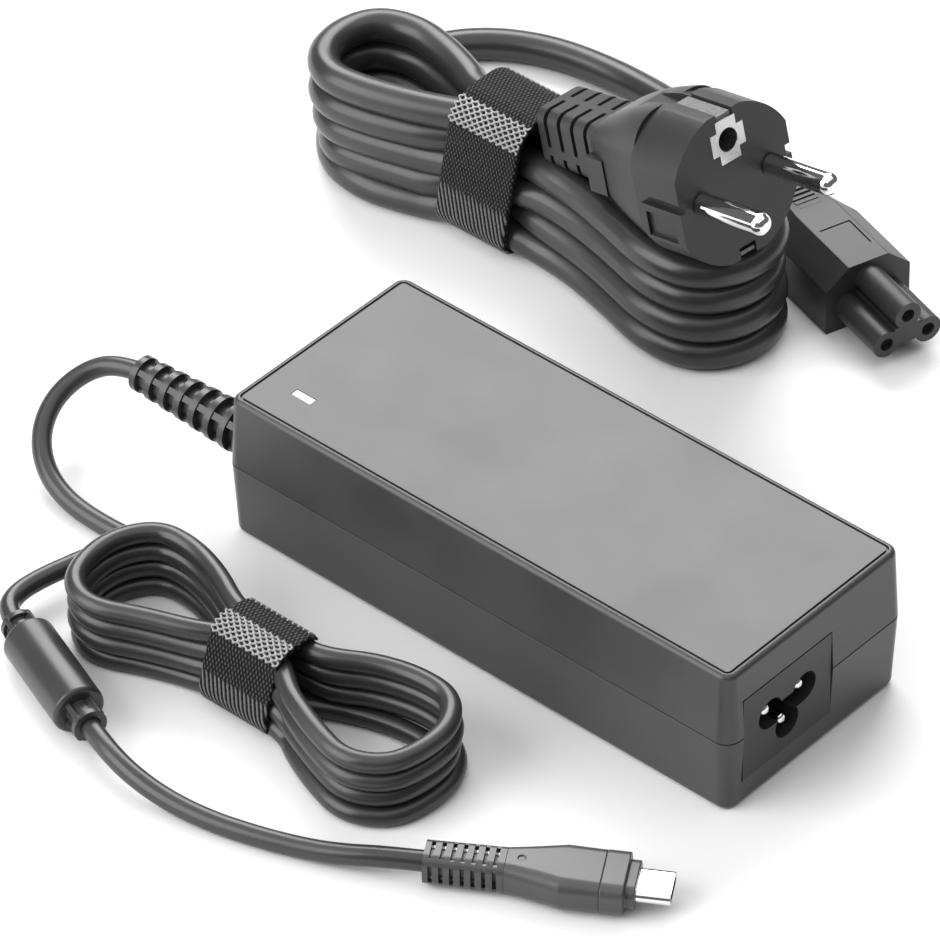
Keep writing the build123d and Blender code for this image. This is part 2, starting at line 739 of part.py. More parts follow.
with BuildPart() as dc_plug_shell:
    with BuildSketch(dc_plug_plane.offset(dc_collar_start - 2)):
        SlotOverall(usb_width, usb_height)
    extrude(amount=usb_length + dc_collar_length + 2)
    with BuildSketch(dc_plug_plane.offset(usb_start + usb_length - usb_inside)):
        SlotOverall(usb_width - 0.6, usb_height - 0.6)
    extrude(amount=usb_inside, mode=Mode.SUBTRACT)
save(dc_plug_shell, "dc_plug_shell")

with BuildPart() as dc_plug_contacts:
    for side in (-1, 1):
        with BuildSketch(dc_plug_plane.offset(usb_start + usb_length - usb_inside)):
            with Locations((0, side * 0.78)):
                with GridLocations(0.5, 1, 12, 1):
                    Rectangle(0.25, 0.3)
        extrude(amount=4.8)
save(dc_plug_contacts, "dc_plug_contacts")

# ---------------------------------------------------------------- mains plug
plug_yaw = -6.0
plug_pitch = 14.5
plug_axis = Vector(cos(radians(plug_pitch)) * cos(radians(plug_yaw)),
                   cos(radians(plug_pitch)) * sin(radians(plug_yaw)), sin(radians(plug_pitch)))
plug_across = Vector(-sin(radians(plug_yaw)), cos(radians(plug_yaw)), 0)
plug_face = Vector(-22.8, 79.8, 46.0)
plug_plane = Plane(plug_face, x_dir=plug_across, z_dir=plug_axis)
plug_radius = 17.0
plug_side_flat = 15.4     # the head's flat sides, beyond the pins
plug_end_flat = 16.4      # the head's flat top and bottom, beyond the earth clips
plug_head = 12.0
plug_shoulder = 3.0       # a thinner step behind the head
plug_grip = 35.0
plug_total = 52.0
channel_width = 4.4       # the slots that the earth clips lie in
channel_length = 25.0
channel_floor = 13.9
pin_diameter = 4.8
pin_root_diameter = 4.0   # the shank held in the moulded head
pin_root_show = 0.2       # how far the shank comes out of the face before the pin's shoulder
pin_root_depth = 10.0
pin_length = 19.0
pin_pitch = 19.0
pin_tip_round = 2.0
earth_offset = 10.0
clip_half = 15.8
boot_core = (9.4, 9.0)
boot_slots = 4
boot_slot_width = 1.1
boot_slot_pitch = 4.2

with BuildPart() as mains_plug_pins:
    with BuildSketch(plug_plane.offset(pin_root_show)):
        with GridLocations(pin_pitch, 0, 2, 1):
            Circle(pin_diameter / 2)
    extrude(amount=pin_length - pin_root_show)
    far_rims = mains_plug_pins.edges().filter_by(GeomType.CIRCLE).sort_by(Axis(plug_face, plug_axis))[-2:]
    fillet(far_rims, pin_tip_round)
    with BuildSketch(plug_plane.offset(-pin_root_depth)):
        with GridLocations(pin_pitch, 0, 2, 1):
            Circle(pin_root_diameter / 2)
    extrude(amount=pin_root_depth + pin_root_show + 1)
save(mains_plug_pins, "mains_plug_pins")

with BuildPart() as mains_plug_earth_clips:
    for side in (-1, 1):
        with BuildSketch(plug_plane.offset(-12.5)):
            with Locations((0, side * (clip_half - 0.45))):
                Rectangle(3.8, 0.9)
        extrude(amount=12.2)
save(mains_plug_earth_clips, "mains_plug_earth_clips")

with BuildPart() as mains_plug_earth_plate:
    with BuildSketch(plug_plane.offset(-0.6)):
        with Locations((0, earth_offset)):
            Rectangle(5.4, 9.6)
            Rectangle(9.0, 5.0)
            Circle(pin_diameter / 2 + 0.1, mode=Mode.SUBTRACT)
    extrude(amount=0.6)
    with BuildSketch(plug_plane.offset(-11)):
        with Locations((0, earth_offset)):
            Circle(2.85)
            Circle(pin_diameter / 2 + 0.1, mode=Mode.SUBTRACT)
    extrude(amount=10.4)
save(mains_plug_earth_plate, "mains_plug_earth_plate")

with BuildPart() as mains_plug_body:
    with BuildSketch(plug_plane):
        Circle(plug_radius)
        Rectangle(2 * plug_side_flat, 2 * plug_end_flat, mode=Mode.INTERSECT)
    extrude(amount=-plug_head)
    with BuildSketch(plug_plane.offset(-plug_head)):
        Circle(plug_radius - 1.2)
        Rectangle(2 * plug_side_flat - 3.0, 2 * plug_end_flat - 1.0, mode=Mode.INTERSECT)
    extrude(amount=-plug_shoulder)
    with BuildSketch(plug_plane.offset(-plug_head - plug_shoulder)):
        RectangleRounded(25.0, 2 * plug_end_flat - 1.6, 8.0)
    with BuildSketch(plug_plane.offset(-plug_head - plug_shoulder - 9)):
        RectangleRounded(21.6, 26.0, 7.0)
    with BuildSketch(plug_plane.offset(-plug_grip)):
        RectangleRounded(14.6, 13.8, 2.6)
    loft()
    for side in (-1, 1):
        with BuildSketch(plug_plane.offset(-plug_head)):
            with Locations((side * plug_side_flat, 1.0)):
                Rectangle(2.8, 2.2)
        extrude(amount=plug_head, mode=Mode.SUBTRACT)
        with BuildSketch(plug_plane.offset(-plug_head + 1.2)):
            with Locations((side * plug_side_flat, -4.4)):
                Rectangle(1.4, 5.4)
        extrude(amount=plug_head - 3.6, mode=Mode.SUBTRACT)
        with BuildSketch(plug_plane.offset(-plug_grip - 0.2)):
            with Locations((side * 7.9, -2.5)):
                Rectangle(3.2, 8.0)
        extrude(amount=5.2)
    with BuildSketch(plug_plane.offset(-channel_length)):
        with Locations((0, channel_floor)):
            Rectangle(channel_width, 6, align=(Align.CENTER, Align.MIN))
    extrude(amount=channel_length, mode=Mode.SUBTRACT)
    with BuildSketch(plug_plane.offset(-plug_head - 0.6)):
        with Locations((0, -channel_floor)):
            Rectangle(channel_width, 6, align=(Align.CENTER, Align.MAX))
    extrude(amount=plug_head + 0.6, mode=Mode.SUBTRACT)
    add(mains_plug_pins.part, mode=Mode.SUBTRACT)
    add(mains_plug_earth_plate.part, mode=Mode.SUBTRACT)
    with BuildSketch(plug_plane.offset(-11)):
        with Locations((0, earth_offset)):
            Circle(pin_diameter / 2 + 0.1)
    extrude(amount=12, mode=Mode.SUBTRACT)
    add(mains_plug_earth_clips.part, mode=Mode.SUBTRACT)
save(mains_plug_body, "mains_plug_body")

with BuildPart() as mains_plug_boot:
    with BuildSketch(plug_plane.offset(-plug_grip)):
        RectangleRounded(14.6, 13.8, 2.6)
    with BuildSketch(plug_plane.offset(-plug_total)):
        RectangleRounded(13.8, 13.2, 2.6)
    loft()
    for slot in range(boot_slots):
        with BuildSketch(plug_plane.offset(-plug_grip - 1.2 - boot_slot_pitch * slot)):
            Rectangle(20, 20)
            RectangleRounded(*boot_core, 2.6, mode=Mode.SUBTRACT)
            Rectangle(1.8, 20, mode=Mode.SUBTRACT)
            with Locations((0, -2.4)):
                Rectangle(20, 1.8, mode=Mode.SUBTRACT)
        extrude(amount=-boot_slot_width, mode=Mode.SUBTRACT)
    add(mains_plug_body.part, mode=Mode.SUBTRACT)
save(mains_plug_boot, "mains_plug_boot")

# ---------------------------------------------------------------- mains lead: hank, tie and tail
mains_loop = [
    (-97.0, 84.0), (-106.0, 90.0), (-115.0, 94.4), (-124.5, 95.2), (-132.6, 91.6), (-135.4, 83.6),
    (-131.6, 76.2), (-123.0, 73.4), (-112.0, 74.6), (-97.0, 77.0), (-74.0, 78.8), (-62.0, 78.0),
    (-50.0, 75.2), (-39.0, 72.2), (-29.6, 73.2), (-23.4, 79.6), (-22.4, 89.0), (-27.6, 96.8),
    (-37.0, 99.0), (-50.0, 96.0), (-62.0, 91.4), (-74.0, 86.2),
]
mains_hank_height = 25.6    # the layers nest into each other under the plug's weight
mains_tie_x = (-98.6, -79.8)      # on the floor; the tie leans towards the plug
mains_tie_section = [(73.4, tie_thickness), (91.0, tie_thickness), (91.0, 34.4), (75.4, 34.4)]
mains_tie_corner = 5.4
mains_tie_lean = 0.13

hook_and_loop_tie("mains_cord_tie", mains_tie_x, mains_tie_section, mains_tie_corner, mains_tie_lean)
hank("mains_cord_hank", mains_loop, mains_diameter, mains_hank_height, mains_tie_x, mains_tie_section,
     mains_tie_corner, mains_tie_lean)

plug_end = plug_face - plug_axis * plug_total
mains_lead_route = [
    tuple(plug_end),
    tuple(plug_end - plug_axis * 4.0),
    (-82.5, 84.2, 30.0),
    (-89.0, 81.0, 28.6),
]
cord_tube("mains_cord_lead", mains_lead_route, mains_diameter)

connector_axis = Vector(cos(radians(18)), -sin(radians(18)), 0)
connector_across = Vector(sin(radians(18)), cos(radians(18)), 0)
connector_face = Vector(-11.0, 108.4, 0)
connector_centre_z = 7.7
connector_boot_end = 52.0
mains_tail_end = connector_face - connector_axis * connector_boot_end + Vector(0, 0, connector_centre_z)
mains_tail_route = [
    (-136.0, 84.0, floor_mains),
    (-141.0, 97.4, floor_mains),
    (-139.8, 111.8, floor_mains),
    (-131.8, 124.2, floor_mains),
    (-119.0, 131.6, floor_mains),
    (-104.4, 134.2, floor_mains),
    (-89.2, 132.8, 5.0),
    tuple(mains_tail_end - connector_axis * 14.5),
    tuple(mains_tail_end),
]
cord_tube("mains_cord_tail", mains_tail_route, mains_diameter)

# ---------------------------------------------------------------- appliance connector on the mains lead
connector_plane = Plane(connector_face, x_dir=connector_across, z_dir=connector_axis)
connector_top = Plane(connector_face + Vector(0, 0, 15.4), x_dir=connector_axis, z_dir=(0, 0, 1))
connector_width = 20.4
connector_height = 15.4
connector_bevel = 5.4
connector_bevel_drop = 4.6
connector_edge = 0.6
nose_length = 15.0
nose_radius = 3.1
nose_line_z = 5.7
contact_points = [(-inlet_pitch / 2, nose_line_z), (inlet_pitch / 2, nose_line_z),
                  (0, nose_line_z + inlet_earth_drop)]


def connector_outline(width, height, bottom):
    """Corners of the connector's bevelled box section, its underside `bottom` above the floor."""
    half = width / 2
    bevel = connector_bevel * width / connector_width
    shoulder = bottom + height - connector_bevel_drop * height / connector_height
    top = bottom + height
    return [(-half, bottom), (half, bottom), (half, shoulder), (half - bevel, top), (bevel - half, top),
            (-half, shoulder)]


with BuildPart() as mains_connector_body:
    with BuildSketch(connector_plane) as connector_front:
        Polygon(*connector_outline(connector_width, connector_height, 0), align=None)
        fillet(connector_front.vertices(), connector_edge)
    extrude(amount=-20)
    with BuildSketch(connector_plane.offset(-20)) as connector_shoulder:
        Polygon(*connector_outline(connector_width, connector_height, 0), align=None)
        fillet(connector_shoulder.vertices(), connector_edge)
    with BuildSketch(connector_plane.offset(-33)) as connector_back:
        Polygon(*connector_outline(13.0, 13.4, 1.0), align=None)
        fillet(connector_back.vertices(), connector_edge)
    loft()
    with BuildSketch(connector_plane.offset(-1)):
        with Locations(*contact_points):
            Circle(nose_radius)
        with Locations((0, nose_line_z + 1.0)):
            Rectangle(6.2, 4.4)
    extrude(amount=nose_length + 1)
    with BuildSketch(connector_plane.offset(nose_length - 13)):
        with Locations(*contact_points):
            Circle(1.5)
    extrude(amount=14, mode=Mode.SUBTRACT)
    with BuildSketch(connector_top):
        with Locations((-13.2, 0.2)):
            Rectangle(0.4, 7.2)
        with Locations((-9.2, 3.7)):
            Rectangle(8.4, 0.4)
    extrude(amount=-0.3, mode=Mode.SUBTRACT)
    with BuildSketch(connector_top.offset(-2.4)):
        with Locations((-26.0, 0)):
            with GridLocations(1.5, 0, 6, 1):
                Rectangle(0.8, 5.4)
    extrude(amount=2.3)
save(mains_connector_body, "mains_connector_body")

with BuildPart() as mains_connector_contacts:
    with BuildSketch(connector_plane.offset(nose_length - 12.9)):
        with Locations(*contact_points):
            Circle(1.48)
            Circle(1.22, mode=Mode.SUBTRACT)
    extrude(amount=11)
save(mains_connector_contacts, "mains_connector_contacts")

with BuildPart() as mains_connector_boot:
    boot_plane = connector_plane.shift_origin(connector_face + Vector(0, 0, connector_centre_z))
    with BuildSketch(boot_plane.offset(-33)):
        Circle(4.6)
    with BuildSketch(boot_plane.offset(-connector_boot_end)):
        Circle(4.1)
    loft()
    for ring in range(6):
        with BuildSketch(boot_plane.offset(-34.6 - 3.4 * ring)):
            RectangleRounded(12.0 - 0.5 * ring, 11.4 - 0.4 * ring, 3.4)
        extrude(amount=-1.9 if ring < 5 else -0.4)
    with BuildSketch(boot_plane.offset(-33)):
        Rectangle(2.4, 11.6)
        Rectangle(12.0, 2.4)
    with BuildSketch(boot_plane.offset(-connector_boot_end)):
        Rectangle(2.4, 9.6)
        Rectangle(9.8, 2.4)
    loft()
save(mains_connector_boot, "mains_connector_boot")
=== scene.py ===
"""Looks of the laptop power adapter: cords, ties, mouldings, metal parts, light and camera, in metres."""
import math

import bmesh
import bpy
from mathutils import Matrix, Vector, noise


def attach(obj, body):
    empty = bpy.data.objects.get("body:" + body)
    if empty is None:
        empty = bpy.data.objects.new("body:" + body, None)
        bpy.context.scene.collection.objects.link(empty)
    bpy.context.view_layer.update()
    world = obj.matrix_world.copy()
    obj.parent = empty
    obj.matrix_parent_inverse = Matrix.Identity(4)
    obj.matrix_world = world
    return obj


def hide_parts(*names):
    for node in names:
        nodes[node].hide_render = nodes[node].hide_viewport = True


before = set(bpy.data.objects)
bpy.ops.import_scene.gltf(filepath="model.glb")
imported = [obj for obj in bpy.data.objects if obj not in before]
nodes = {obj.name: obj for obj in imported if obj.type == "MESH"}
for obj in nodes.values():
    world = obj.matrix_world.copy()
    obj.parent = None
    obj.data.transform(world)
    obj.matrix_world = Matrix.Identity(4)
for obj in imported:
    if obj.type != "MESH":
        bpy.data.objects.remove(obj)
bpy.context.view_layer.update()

scene = bpy.context.scene
scene.view_settings.view_transform = "Standard"


# ---------------------------------------------------------------- camera
CAMERA_AZIMUTH = math.radians(42.152)
CAMERA_ELEVATION = math.radians(39.962)
CAMERA_ROLL = math.radians(-0.821)
CAMERA_PLACE = Vector((0.72042, -0.82192, 0.95032))
CAMERA_LENS = 282.17
CAMERA_SENSOR = 36.0


def make_camera():
    """A long lens that looks down on the adapter from its right front corner."""
    azimuth, elevation, roll = CAMERA_AZIMUTH, CAMERA_ELEVATION, CAMERA_ROLL
    back = Vector((math.sin(azimuth) * math.cos(elevation), -math.cos(azimuth) * math.cos(elevation),
                   math.sin(elevation)))
    right = Vector((math.cos(azimuth), math.sin(azimuth), 0))
    up = back.cross(right)
    rolled_right = right * math.cos(roll) + up * math.sin(roll)
    rolled_up = up * math.cos(roll) - right * math.sin(roll)
    turn = Matrix((rolled_right, rolled_up, back)).transposed()
    data = bpy.data.cameras.new("camera")
    data.lens = CAMERA_LENS
    data.sensor_width = CAMERA_SENSOR
    data.clip_start = 0.05
    data.clip_end = 20.0
    camera = bpy.data.objects.new("camera", data)
    camera.matrix_world = Matrix.Translation(CAMERA_PLACE) @ turn.to_4x4()
    scene.collection.objects.link(camera)
    scene.camera = camera


make_camera()


# ---------------------------------------------------------------- materials
def start_material(name, base, roughness, metallic=0.0):
    """A material of one Principled shader, with its node tree's parts."""
    material = bpy.data.materials.new(name)
    material.use_nodes = True
    shader = material.node_tree.nodes["Principled BSDF"]
    shader.inputs["Base Color"].default_value = (*base, 1)
    shader.inputs["Roughness"].default_value = roughness
    shader.inputs["Metallic"].default_value = metallic
    return material, material.node_tree.nodes, material.node_tree.links, shader


def add_noise(tree_nodes, links, scale, detail=3.0, stretch=(1, 1, 1)):
    """Noise in the object's own coordinates, in features per metre."""
    place = tree_nodes.new("ShaderNodeTexCoord")
    mapping = tree_nodes.new("ShaderNodeMapping")
    mapping.inputs["Scale"].default_value = stretch
    texture = tree_nodes.new("ShaderNodeTexNoise")
    texture.inputs["Scale"].default_value = scale
    texture.inputs["Detail"].default_value = detail
    links.new(place.outputs["Object"], mapping.inputs["Vector"])
    links.new(mapping.outputs["Vector"], texture.inputs["Vector"])
    return texture.outputs["Fac"]


def vary_colour(tree_nodes, links, shader, factor, dark, light, low=0.35, high=0.65):
    """Base colour from dark to light as the factor goes from low to high."""
    ramp = tree_nodes.new("ShaderNodeValToRGB")
    ramp.color_ramp.elements[0].position = low
    ramp.color_ramp.elements[1].position = high
    ramp.color_ramp.elements[0].color = (*dark, 1)
    ramp.color_ramp.elements[1].color = (*light, 1)
    links.new(factor, ramp.inputs["Fac"])
    links.new(ramp.outputs["Color"], shader.inputs["Base Color"])


def vary_roughness(tree_nodes, links, shader, factor, low, high):
    """Roughness from low to high over the middle of the factor's range."""
    spread = tree_nodes.new("ShaderNodeMapRange")
    spread.inputs["From Min"].default_value = 0.3
    spread.inputs["From Max"].default_value = 0.7
    spread.inputs["To Min"].default_value = low
    spread.inputs["To Max"].default_value = high
    links.new(factor, spread.inputs["Value"])
    links.new(spread.outputs["Result"], shader.inputs["Roughness"])


def add_bump(tree_nodes, links, shader, factor, strength, depth):
    """Surface grain from the factor, `depth` in metres."""
    bump = tree_nodes.new("ShaderNodeBump")
    bump.inputs["Strength"].default_value = strength
    bump.inputs["Distance"].default_value = depth
    links.new(factor, bump.inputs["Height"])
    links.new(bump.outputs["Normal"], shader.inputs["Normal"])


CLOUD_SCALE = 45.0            # features per metre
MOULD_GRAIN_DEPTH = 0.00006
BLUE_TINT = 1.01
GLOSS_LOW, GLOSS_HIGH = -0.04, 0.05
METAL_WEAR = 0.93
WEAR_LOW, WEAR_HIGH = 0.7, 1.6
MOTTLE_SCALE = 220.0
MOTTLE_SPREAD = 0.15
COMPONENT_GRAIN = 1200.0
COMPONENT_GRAIN_DEPTH = 0.00005
LENS_DARK, LENS_LIGHT = 0.52, 0.66
FUZZ_SCALE = 3500.0
FUZZ_SHARE = 0.35
FUZZ_DEPTH = 0.0002
WEAVE_AND_SHADE_RAMP = (0.55, 1.20)


def moulded(name, grey, roughness, grain=2600.0, strength=0.25, spread=0.12, level=0.5):
    """Moulded plastic or rubber: slight clouding, uneven gloss and a fine spark-eroded grain."""
    material, tree_nodes, links, shader = start_material(name, (grey,) * 3, roughness)
    shader.inputs["Specular IOR Level"].default_value = level
    clouds = add_noise(tree_nodes, links, CLOUD_SCALE, 4.0)
    dark, light = grey * (1 - spread), grey * (1 + spread)
    vary_colour(tree_nodes, links, shader, clouds, (dark,) * 3, (light, light, light * BLUE_TINT))
    vary_roughness(tree_nodes, links, shader, clouds, roughness + GLOSS_LOW, roughness + GLOSS_HIGH)
    add_bump(tree_nodes, links, shader, add_noise(tree_nodes, links, grain, 5.0), strength,
             MOULD_GRAIN_DEPTH)
    return material


def metal(name, colour, roughness, grain=900.0, stretch=(1, 1, 1)):
    """Plated or rolled metal with faint handling marks."""
    material, tree_nodes, links, shader = start_material(name, colour, roughness, 1.0)
    marks = add_noise(tree_nodes, links, grain, 4.0, stretch)
    vary_colour(tree_nodes, links, shader, marks, tuple(c * METAL_WEAR for c in colour), colour)
    vary_roughness(tree_nodes, links, shader, marks, roughness * WEAR_LOW, roughness * WEAR_HIGH)
    return material


def coloured(name, colour, roughness):
    """Opaque coloured component body with a little mottling."""
    material, tree_nodes, links, shader = start_material(name, colour, roughness)
    mottle = add_noise(tree_nodes, links, MOTTLE_SCALE, 4.0)
    vary_colour(tree_nodes, links, shader, mottle, tuple(c * (1 - MOTTLE_SPREAD) for c in colour),
                tuple(min(1.0, c * (1 + MOTTLE_SPREAD)) for c in colour))
    add_bump(tree_nodes, links, shader, add_noise(tree_nodes, links, COMPONENT_GRAIN), 0.2,
             COMPONENT_GRAIN_DEPTH)
    return material


def lens_material(name):
    """Milky light guide, unlit."""
    material, tree_nodes, links, shader = start_material(name, (0.6, 0.6, 0.6), 0.35)
    clouds = add_noise(tree_nodes, links, 500.0)
    vary_colour(tree_nodes, links, shader, clouds, (LENS_DARK,) * 3, (LENS_LIGHT,) * 3)
    return material


def woven(name, grey, light):
    """Nylon cloth: the colour follows the weave's height that the mesh carries in an attribute, with painted
    shade in the hollows and painted highlight on the raised loops and ribs.
    """
    material, tree_nodes, links, shader = start_material(name, (grey,) * 3, 0.6)
    shader.inputs["Specular IOR Level"].default_value = 0.1
    shader.inputs["Sheen Weight"].default_value = 0.02
    shader.inputs["Sheen Roughness"].default_value = 0.5
    weave_and_shade = tree_nodes.new("ShaderNodeAttribute")
    weave_and_shade.attribute_name = "weave_and_shade"
    fuzz = add_noise(tree_nodes, links, FUZZ_SCALE, 5.0)
    mix = tree_nodes.new("ShaderNodeMath")
    mix.operation = "MULTIPLY_ADD"
    mix.inputs[1].default_value = FUZZ_SHARE
    links.new(fuzz, mix.inputs[0])
    links.new(weave_and_shade.outputs["Fac"], mix.inputs[2])
    # Base colour by weave height: partly the ribs' pattern, partly painted shade in the hollows and painted
    # highlight on the tops; the fuzz is random tone.
    vary_colour(tree_nodes, links, shader, mix.outputs[0], (grey,) * 3, (light,) * 3, *WEAVE_AND_SHADE_RAMP)
    add_bump(tree_nodes, links, shader, fuzz, 0.6, FUZZ_DEPTH)
    return material


MATERIALS = {
    "case": moulded("case_plastic", 0.044, 0.34, level=0.42),
    "inlet": moulded("inlet_plastic", 0.020, 0.36, grain=1800.0, strength=0.12, level=0.35),
    "plug": moulded("plug_plastic", 0.026, 0.40, grain=2200.0, strength=0.3, level=0.4),
    "usb_plug": moulded("usb_plug_plastic", 0.055, 0.32, grain=2600.0, strength=0.15),
    "cord": moulded("cord_rubber", 0.030, 0.30, grain=1500.0, strength=0.08, spread=0.08),
    "chrome": metal("contact_metal", (0.86, 0.86, 0.87), 0.07),
    "brushed": metal("earth_metal", (0.62, 0.62, 0.62), 0.28, 2200.0, (1, 8, 1)),
    # The earth clips are nickel-plated; their dark grey here is painted shade for the recess they sit in.
    "painted_shade_clip": metal("clip_metal_painted_shade", (0.18, 0.18, 0.18), 0.5, 1500.0),
    "lens": lens_material("led_lens"),
    "cloth": woven("hook_and_loop", 0.005, 0.150),
    "hooks": moulded("hook_nylon", 0.34, 0.30, grain=900.0, strength=0.1),
    "board": coloured("board", (0.06, 0.20, 0.10), 0.4),
    "ferrite": coloured("ferrite", (0.06, 0.06, 0.065), 0.6),
    "tape": coloured("winding_tape", (0.72, 0.55, 0.08), 0.35),
    "sleeve": coloured("capacitor_sleeve", (0.05, 0.07, 0.13), 0.3),
    "copper": metal("copper", (0.78, 0.38, 0.20), 0.25),
    "component": coloured("component_case", (0.18, 0.32, 0.50), 0.35),
    "chip": coloured("chip", (0.03, 0.03, 0.03), 0.5),
    "aluminium": metal("heat_sink", (0.75, 0.76, 0.77), 0.32, 1500.0, (1, 6, 1)),
    "wire": coloured("wire", (0.40, 0.03, 0.02), 0.45),
}


def paint(obj, key):
    """Give the piece one material."""
    obj.data.materials.clear()
    obj.data.materials.append(MATERIALS[key])


# ---------------------------------------------------------------- mesh helpers
def body_of(node):
    """The body that a CAD node rides on, which its name tells."""
    return "mains_lead" if node.startswith("mains_") else "adapter"


def settle(name, mesh, key, body, replaced=()):
    """Put a finished mesh in the scene as a piece of the object."""
    obj = bpy.data.objects.new(name, mesh)
    scene.collection.objects.link(obj)
    paint(obj, key)
    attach(obj, body)
    if replaced:
        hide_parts(*replaced)
    return obj


def smooth(mesh, angle):
    """Smooth shading, with edges over the angle in degrees kept sharp."""
    mesh.shade_smooth()
    mesh.set_sharp_from_angle(angle=math.radians(angle))


SHARP_ANGLE = 34.0
FLAT_ANGLE = 0.6
MERGE_DISTANCE = 0.000002


def bevelled(mesh, width, segments):
    """The mesh with its sharp edges rounded off and its flat faces shaded flat."""
    smooth(mesh, SHARP_ANGLE)
    carrier = bpy.data.objects.new("bevel_carrier", mesh)
    scene.collection.objects.link(carrier)
    modifier = carrier.modifiers.new("round", "BEVEL")
    modifier.width = width
    modifier.segments = segments
    modifier.limit_method = "ANGLE"
    modifier.angle_limit = math.radians(SHARP_ANGLE)
    modifier.use_clamp_overlap = True
    weighted = carrier.modifiers.new("weighted", "WEIGHTED_NORMAL")
    weighted.keep_sharp = True
    weighted.weight = 100
    evaluated = carrier.evaluated_get(bpy.context.evaluated_depsgraph_get())
    result = bpy.data.meshes.new_from_object(evaluated)
    bpy.data.objects.remove(carrier)
    return result


def cleaned(node):
    """A copy of a CAD node's mesh with its flat faces merged."""
    mesh = nodes[node].data.copy()
    work = bmesh.new()
    work.from_mesh(mesh)
    bmesh.ops.remove_doubles(work, verts=work.verts, dist=MERGE_DISTANCE)
    bmesh.ops.dissolve_limit(work, angle_limit=math.radians(FLAT_ANGLE), verts=work.verts, edges=work.edges)
    bmesh.ops.recalc_face_normals(work, faces=work.faces)
    work.to_mesh(mesh)
    work.free()
    for layer in list(mesh.attributes):
        if layer.name == "custom_normal":
            mesh.attributes.remove(layer)
    return mesh


def softened(node, key, width, segments=2):
    """The CAD node again, with the small radii that moulding or plating gives its edges."""
    mesh = bevelled(cleaned(node), width, segments)
    return settle(node + "_finish", mesh, key, body_of(node), (node,))


# ---------------------------------------------------------------- cords
def cord_curve(name, points, diameter):
    """A round cord along one smooth spline."""
    data = bpy.data.curves.new(name, "CURVE")
    data.dimensions = "3D"
    data.bevel_depth = diameter / 2
    data.bevel_resolution = 7
    data.use_fill_caps = True
    spline = data.splines.new("NURBS")
    spline.points.add(len(points) - 1)
    for place, point in zip(spline.points, points):
        place.co = (*point, 1)
    spline.use_endpoint_u = True
    spline.order_u = 3
    spline.resolution_u = 8
    obj = bpy.data.objects.new(name, data)
    scene.collection.objects.link(obj)
    return obj


def end_turn(arc, z_in, z_out, inset):
    """One end of a hank: the loop's points, drawn in by `inset` and rising from z_in to z_out."""
    middle = Vector((sum(p[0] for p in arc), sum(p[1] for p in arc))) / len(arc)
    points = []
    for index, (x, y) in enumerate(arc):
        share = index / (len(arc) - 1)
        outward = (Vector((x, y)) - middle).normalized()
        moved = Vector((x, y)) - outward * inset * math.sin(math.pi * share) ** 0.5
        ease = share * share * (3 - 2 * share)
        points.append((moved.x, moved.y, z_in + (z_out - z_in) * ease))
    return points


DC_DIAMETER = 0.0042
DC_LAYERS = [0.00210, 0.00635, 0.01060, 0.01485]
DC_TIE_LAYERS = [0.0039, 0.0077, 0.0115, 0.0149]
DC_TIE_COLUMNS = {"near": [-0.0656, -0.0646, -0.0628, -0.0606], "mid": [-0.0605] * 4, "far": [-0.0554] * 4}
DC_TIE_MOUTHS = {"left": -0.0300, "right": -0.0186}
DC_ARCS = {
    "left": [
        (-0.0360, -0.0646), (-0.0470, -0.0686), (-0.0570, -0.0734), (-0.0648, -0.0706),
        (-0.0678, -0.0630), (-0.0674, -0.0546), (-0.0624, -0.0476), (-0.0540, -0.0472),
        (-0.0446, -0.0500), (-0.0360, -0.0546),
    ],
    "right": [
        (-0.0120, -0.0542), (-0.0040, -0.0492), (0.0050, -0.0466), (0.0136, -0.0470), (0.0188, -0.0534),
        (0.0194, -0.0614), (0.0172, -0.0694), (0.0096, -0.0736), (0.0006, -0.0712), (-0.0080, -0.0678),
        (-0.0120, -0.0657),
    ],
}
DC_LEAD = [
    (-0.0966, -0.0170, 0.0175), (-0.1030, -0.0176, 0.0170), (-0.1082, -0.0218, 0.0146),
    (-0.1100, -0.0288, 0.0112), (-0.1074, -0.0358, 0.0078), (-0.1014, -0.0408, 0.0048),
    (-0.0934, -0.0432, 0.0027), (-0.0835, -0.0436, 0.0021), (-0.0720, -0.0426, 0.0021),
    (-0.0605, -0.0424, 0.0021), (-0.0500, -0.0448, 0.0021), (-0.0420, -0.0492, 0.0023),
    (-0.0360, -0.0530, 0.0032),
]
# side, layer, inset, and the slots under the tie (column, layer) that it starts from and ends in
DC_WRAPS = [
    ("right", 0, -0.0009, ("far", 0), ("near", 0)),
    ("left", 0, 0.0008, ("near", 0), ("mid", 0)),
    ("right", 0, 0.0033, ("mid", 0), ("mid", 1)),
    ("left", 1, 0.0002, ("near", 1), ("mid", 1)),
    ("right", 1, 0.0003, ("far", 1), ("near", 1)),
    ("left", 2, 0.0004, ("near", 2), ("far", 2)),
    ("right", 2, -0.0003, ("far", 2), ("near", 2)),
    ("left", 3, 0.0000, ("near", 3), ("far", 3)),
    ("right", 3, 0.0000, ("far", 3), ("near", 3)),
]
DC_CROSSING = [(-0.0225, -0.0612, 0.0134), (-0.0262, -0.0588, 0.0106)]
FERRITE_START = Vector((-0.0722, -0.0786, 0.0052))
FERRITE_DIRECTION = Vector((0.933, -0.359, 0)).normalized()
FERRITE_NECK = 0.005
FERRITE_LENGTH = 0.024
FERRITE_TOTAL = FERRITE_LENGTH + 2 * FERRITE_NECK
FERRITE_END = FERRITE_START + FERRITE_DIRECTION * FERRITE_TOTAL
FERRITE_RUN_IN, FERRITE_RUN_OUT = 0.005, 0.0065     # straight lengths before and after it
FERRITE_SHARES = (0.1, 0.9)                         # where the points inside it lie
